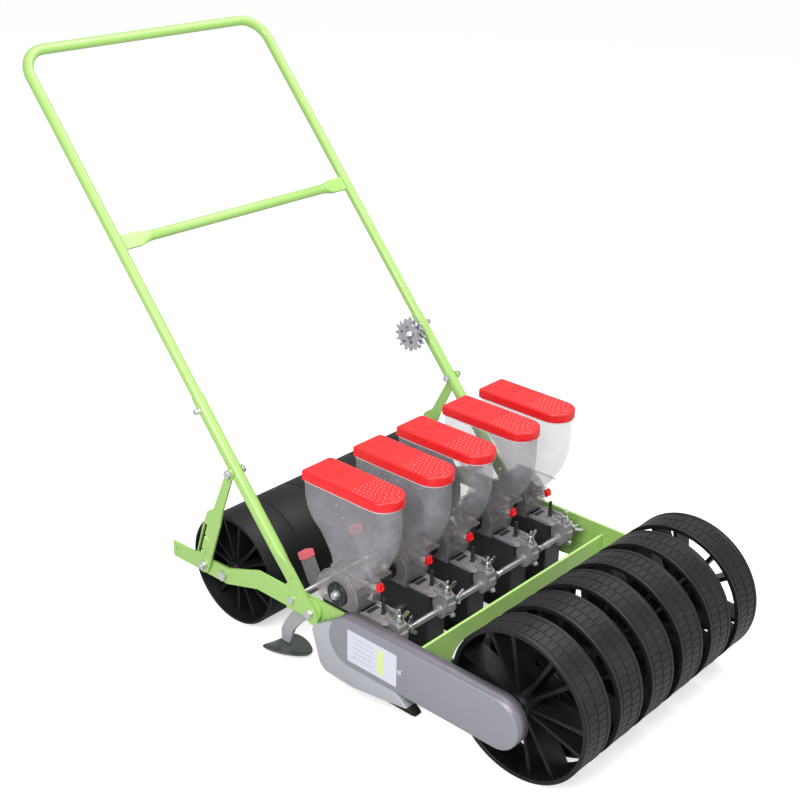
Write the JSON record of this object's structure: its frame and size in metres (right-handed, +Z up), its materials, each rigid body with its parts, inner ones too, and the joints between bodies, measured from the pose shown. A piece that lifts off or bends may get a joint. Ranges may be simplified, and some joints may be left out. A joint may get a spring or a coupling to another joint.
{
  "type": "push seeder",
  "caption": "Hand-pushed multi-row vegetable seeder with clear hoppers, red lids, a ribbed front roller, a smooth rear roller and a height-adjustable green tube handle",
  "frame": {"origin": "on the ground, at the middle of the overall length and width", "axes": "+Z up, -Y the direction of travel, -X the side of the chain cover, +X the other side"},
  "size_m": [0.61, 1.2706, 0.9732],
  "materials": {
    "green_paint": "gloss",
    "bright_steel": "satin",
    "grey_paint": "satin",
    "black_plastic": "matte",
    "red_plastic": "gloss",
    "pink_plastic": "gloss",
    "clear_plastic": "gloss",
    "cast_metal": "matte",
    "chain_steel": "satin",
    "gear_plastic": "matte",
    "roller_plastic": "satin"
  },
  "bodies": {
    "frame": {"side_plate_left": "green_paint", "side_plate_right": "green_paint", "front_cross_bar": "green_paint", "rear_tie_rod": "bright_steel", "clamp_rod": "bright_steel", "rear_arm_left": "green_paint", "rear_arm_right": "green_paint", "axle_bushes": "bright_steel", "frame_bolts": "bright_steel", "chain_cover": "grey_paint", "drive_chain": "chain_steel", "openers": "black_plastic", "rod_clamps": "cast_metal", "wing_nuts": "bright_steel", "chute_caps": "pink_plastic", "coverer_bracket": "cast_metal", "coverer_blade": "black_plastic", "housing_1": "clear_plastic", "housing_2": "clear_plastic", "housing_3": "clear_plastic", "housing_4": "clear_plastic", "housing_5": "clear_plastic", "hopper_1": "clear_plastic", "hopper_2": "clear_plastic", "hopper_3": "clear_plastic", "hopper_4": "clear_plastic", "hopper_5": "clear_plastic"},
    "front_roller": {"front_axle": "bright_steel", "front_wheels": "black_plastic", "drive_sprocket": "chain_steel"},
    "drive_line": {"drive_shaft": "bright_steel", "shaft_gears": "gear_plastic", "driven_sprocket": "chain_steel"},
    "rear_roller": {"rear_axle": "bright_steel", "rear_drums": "black_plastic"},
    "seed_drum_1": {"seed_roller_1": "roller_plastic"},
    "seed_drum_2": {"seed_roller_2": "roller_plastic"},
    "seed_drum_3": {"seed_roller_3": "roller_plastic"},
    "seed_drum_4": {"seed_roller_4": "roller_plastic"},
    "seed_drum_5": {"seed_roller_5": "roller_plastic"},
    "lid_cap_1": {"lid_1": "red_plastic"},
    "lid_cap_2": {"lid_2": "red_plastic"},
    "lid_cap_3": {"lid_3": "red_plastic"},
    "lid_cap_4": {"lid_4": "red_plastic"},
    "lid_cap_5": {"lid_5": "red_plastic"},
    "brush_1": {"brush_knob_1": "red_plastic"},
    "brush_2": {"brush_knob_2": "red_plastic"},
    "brush_3": {"brush_knob_3": "red_plastic"},
    "brush_4": {"brush_knob_4": "red_plastic"},
    "brush_5": {"brush_knob_5": "red_plastic"},
    "handle": {"lower_tube_left": "green_paint", "lower_tube_right": "green_paint", "spare_sprocket": "bright_steel", "handle_bolts": "bright_steel"},
    "handle_top": {"upper_handle": "green_paint", "handle_crossbar": "green_paint"},
    "braces": {"brace_left": "green_paint", "brace_right": "green_paint", "brace_bolts": "bright_steel"}
  },
  "joints": [
    {"name": "front_roller_spin", "type": "hinge", "parent": "frame", "child": "front_roller", "pos_m": [0, -0.50533, 0.13], "axis": [1, 0, 0], "continuous": true},
    {"name": "rear_roller_spin", "type": "hinge", "parent": "frame", "child": "rear_roller", "pos_m": [0, 0.13467, 0.105], "axis": [1, 0, 0], "continuous": true},
    {"name": "drive_shaft_spin", "type": "hinge", "parent": "frame", "child": "drive_line", "pos_m": [0, -0.17033, 0.108], "axis": [1, 0, 0], "continuous": true},
    {"name": "seed_roller_1_spin", "type": "hinge", "parent": "frame", "child": "seed_drum_1", "pos_m": [-0.238, -0.14073, 0.18], "axis": [1, 0, 0], "continuous": true},
    {"name": "seed_roller_2_spin", "type": "hinge", "parent": "frame", "child": "seed_drum_2", "pos_m": [-0.118, -0.14073, 0.18], "axis": [1, 0, 0], "continuous": true},
    {"name": "seed_roller_3_spin", "type": "hinge", "parent": "frame", "child": "seed_drum_3", "pos_m": [-0.01, -0.14073, 0.18], "axis": [1, 0, 0], "continuous": true},
    {"name": "seed_roller_4_spin", "type": "hinge", "parent": "frame", "child": "seed_drum_4", "pos_m": [0.112, -0.14073, 0.18], "axis": [1, 0, 0], "continuous": true},
    {"name": "seed_roller_5_spin", "type": "hinge", "parent": "frame", "child": "seed_drum_5", "pos_m": [0.216, -0.14073, 0.18], "axis": [1, 0, 0], "continuous": true},
    {"name": "lid_1_hinge", "type": "hinge", "parent": "frame", "child": "lid_cap_1", "pos_m": [-0.238, -0.06033, 0.373], "axis": [1, 0, 0], "range_deg": [-110, 0]},
    {"name": "lid_2_hinge", "type": "hinge", "parent": "frame", "child": "lid_cap_2", "pos_m": [-0.118, -0.06033, 0.373], "axis": [1, 0, 0], "range_deg": [-110, 0]},
    {"name": "lid_3_hinge", "type": "hinge", "parent": "frame", "child": "lid_cap_3", "pos_m": [-0.01, -0.06033, 0.373], "axis": [1, 0, 0], "range_deg": [-110, 0]},
    {"name": "lid_4_hinge", "type": "hinge", "parent": "frame", "child": "lid_cap_4", "pos_m": [0.112, -0.06033, 0.373], "axis": [1, 0, 0], "range_deg": [-110, 0]},
    {"name": "lid_5_hinge", "type": "hinge", "parent": "frame", "child": "lid_cap_5", "pos_m": [0.216, -0.06033, 0.373], "axis": [1, 0, 0], "range_deg": [-110, 0]},
    {"name": "brush_knob_1_turn", "type": "hinge", "parent": "frame", "child": "brush_1", "pos_m": [-0.238, -0.20865, 0.20894], "axis": [0, -0.9703, 0.2419], "range_deg": [0, 90]},
    {"name": "brush_knob_2_turn", "type": "hinge", "parent": "frame", "child": "brush_2", "pos_m": [-0.118, -0.20865, 0.20894], "axis": [0, -0.9703, 0.2419], "range_deg": [0, 90]},
    {"name": "brush_knob_3_turn", "type": "hinge", "parent": "frame", "child": "brush_3", "pos_m": [-0.01, -0.20865, 0.20894], "axis": [0, -0.9703, 0.2419], "range_deg": [0, 90]},
    {"name": "brush_knob_4_turn", "type": "hinge", "parent": "frame", "child": "brush_4", "pos_m": [0.112, -0.20865, 0.20894], "axis": [0, -0.9703, 0.2419], "range_deg": [0, 90]},
    {"name": "brush_knob_5_turn", "type": "hinge", "parent": "frame", "child": "brush_5", "pos_m": [0.216, -0.20865, 0.20894], "axis": [0, -0.9703, 0.2419], "range_deg": [0, 90]},
    {"name": "handle_tilt", "type": "hinge", "parent": "frame", "child": "handle", "pos_m": [0, -0.09133, 0.127], "axis": [1, 0, 0], "range_deg": [-17, 0]},
    {"name": "brace_swing", "type": "hinge", "parent": "handle", "child": "braces", "pos_m": [0, 0.08568, 0.33352], "axis": [1, 0, 0], "range_deg": [0, 9.1]},
    {"name": "handle_slide", "type": "slide", "parent": "handle", "child": "handle_top", "axis": [0, 0.6508, 0.7593], "range_m": [-0.05, 0.03]}
  ],
  "couplings": [
    {"joint": "drive_shaft_spin", "follows": "front_roller_spin", "ratio": 1.3},
    {"joint": "seed_roller_1_spin", "follows": "front_roller_spin", "ratio": -1.6545},
    {"joint": "seed_roller_2_spin", "follows": "front_roller_spin", "ratio": -1.6545},
    {"joint": "seed_roller_3_spin", "follows": "front_roller_spin", "ratio": -1.6545},
    {"joint": "seed_roller_4_spin", "follows": "front_roller_spin", "ratio": -1.6545},
    {"joint": "seed_roller_5_spin", "follows": "front_roller_spin", "ratio": -1.6545},
    {"joint": "brace_swing", "follows": "handle_tilt", "ratio": -0.53}
  ]
}
